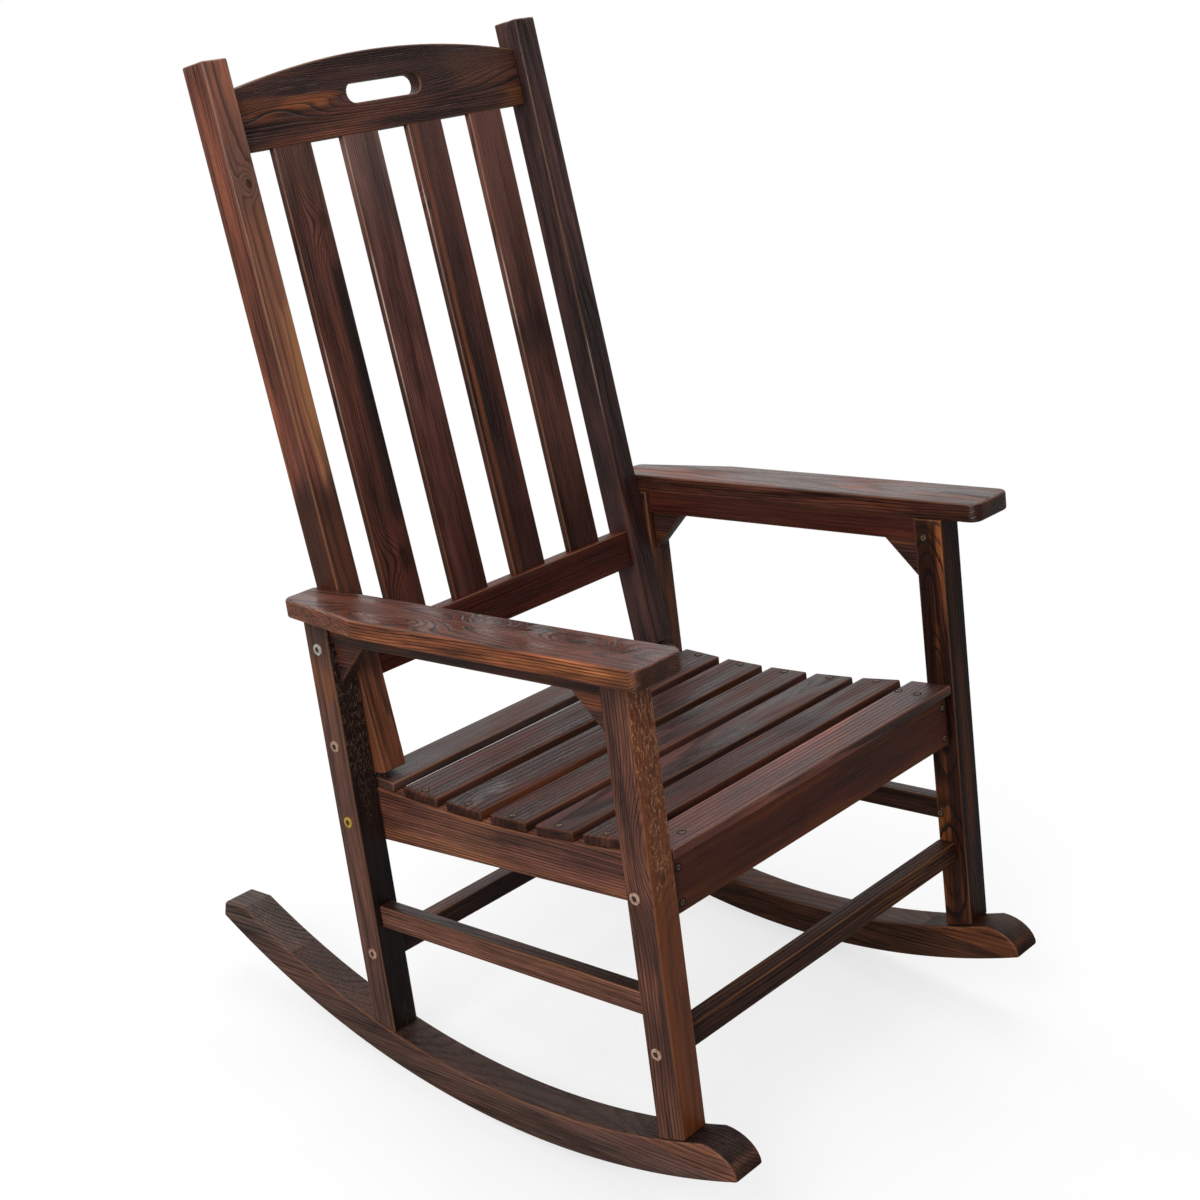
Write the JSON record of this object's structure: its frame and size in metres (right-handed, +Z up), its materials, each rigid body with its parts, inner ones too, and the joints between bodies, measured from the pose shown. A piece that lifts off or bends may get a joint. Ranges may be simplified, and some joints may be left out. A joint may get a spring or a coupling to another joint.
{
  "type": "porch rocking chair",
  "caption": "Dark stained wooden porch rocking chair with a slatted dished seat, a tall slatted back with a hand hold, flat armrests and curved rockers.",
  "frame": {"origin": "on the floor, under the centre of the chair's bounding box, with the empty chair at rest on its rockers", "axes": "+Z up; the chair faces -Y, so a sitter looks along -Y; +X to the sitter's left"},
  "size_m": [0.674, 0.8634, 1.1804],
  "materials": {
    "rocker_wood": "dark walnut stain, satin",
    "frame_wood": "walnut stain, satin, worn edges",
    "arm_wood": "walnut stain, semi-gloss",
    "seat_wood": "dark walnut stain, semi-gloss",
    "back_wood": "reddish walnut stain, satin",
    "bolt_steel": "yellow zinc plated, dulled"
  },
  "bodies": {
    "root": {"rocker_right": "rocker_wood", "rocker_toe_right": "rocker_wood", "rocker_heel_right": "rocker_wood", "rocker_left": "rocker_wood", "rocker_toe_left": "rocker_wood", "rocker_heel_left": "rocker_wood", "front_leg_right": "frame_wood", "rear_leg_right": "frame_wood", "arm_rail_right": "frame_wood", "side_stretcher_right": "frame_wood", "corner_brace_front_right": "frame_wood", "corner_brace_rear_right": "frame_wood", "front_leg_left": "frame_wood", "rear_leg_left": "frame_wood", "arm_rail_left": "frame_wood", "side_stretcher_left": "frame_wood", "corner_brace_front_left": "frame_wood", "corner_brace_rear_left": "frame_wood", "front_cross_stretcher": "frame_wood", "rear_cross_stretcher": "frame_wood", "armrest_right": "arm_wood", "armrest_left": "arm_wood", "seat_side_rail_right": "seat_wood", "seat_side_rail_left": "seat_wood", "seat_slat_front": "seat_wood", "seat_slat_1": "seat_wood", "seat_slat_2": "seat_wood", "seat_slat_3": "seat_wood", "seat_slat_4": "seat_wood", "seat_slat_5": "seat_wood", "seat_slat_rear": "seat_wood", "seat_front_apron": "seat_wood", "back_stile_right": "back_wood", "back_stile_left": "back_wood", "crest_rail": "back_wood", "lower_back_rail": "back_wood", "back_slat_1": "back_wood", "back_slat_2": "back_wood", "back_slat_3": "back_wood", "back_slat_4": "back_wood", "back_bolt_upper_right": "bolt_steel", "back_bolt_upper_left": "bolt_steel", "back_bolt_lower_right": "bolt_steel", "back_bolt_lower_left": "bolt_steel", "seat_bolt_rear_right": "bolt_steel", "seat_bolt_rear_left": "bolt_steel", "seat_bolt_front_right": "bolt_steel", "seat_bolt_front_left": "bolt_steel", "cross_bolt_front_right": "bolt_steel", "cross_bolt_front_left": "bolt_steel", "cross_bolt_rear_right": "bolt_steel", "cross_bolt_rear_left": "bolt_steel"}
  },
  "joints": []
}
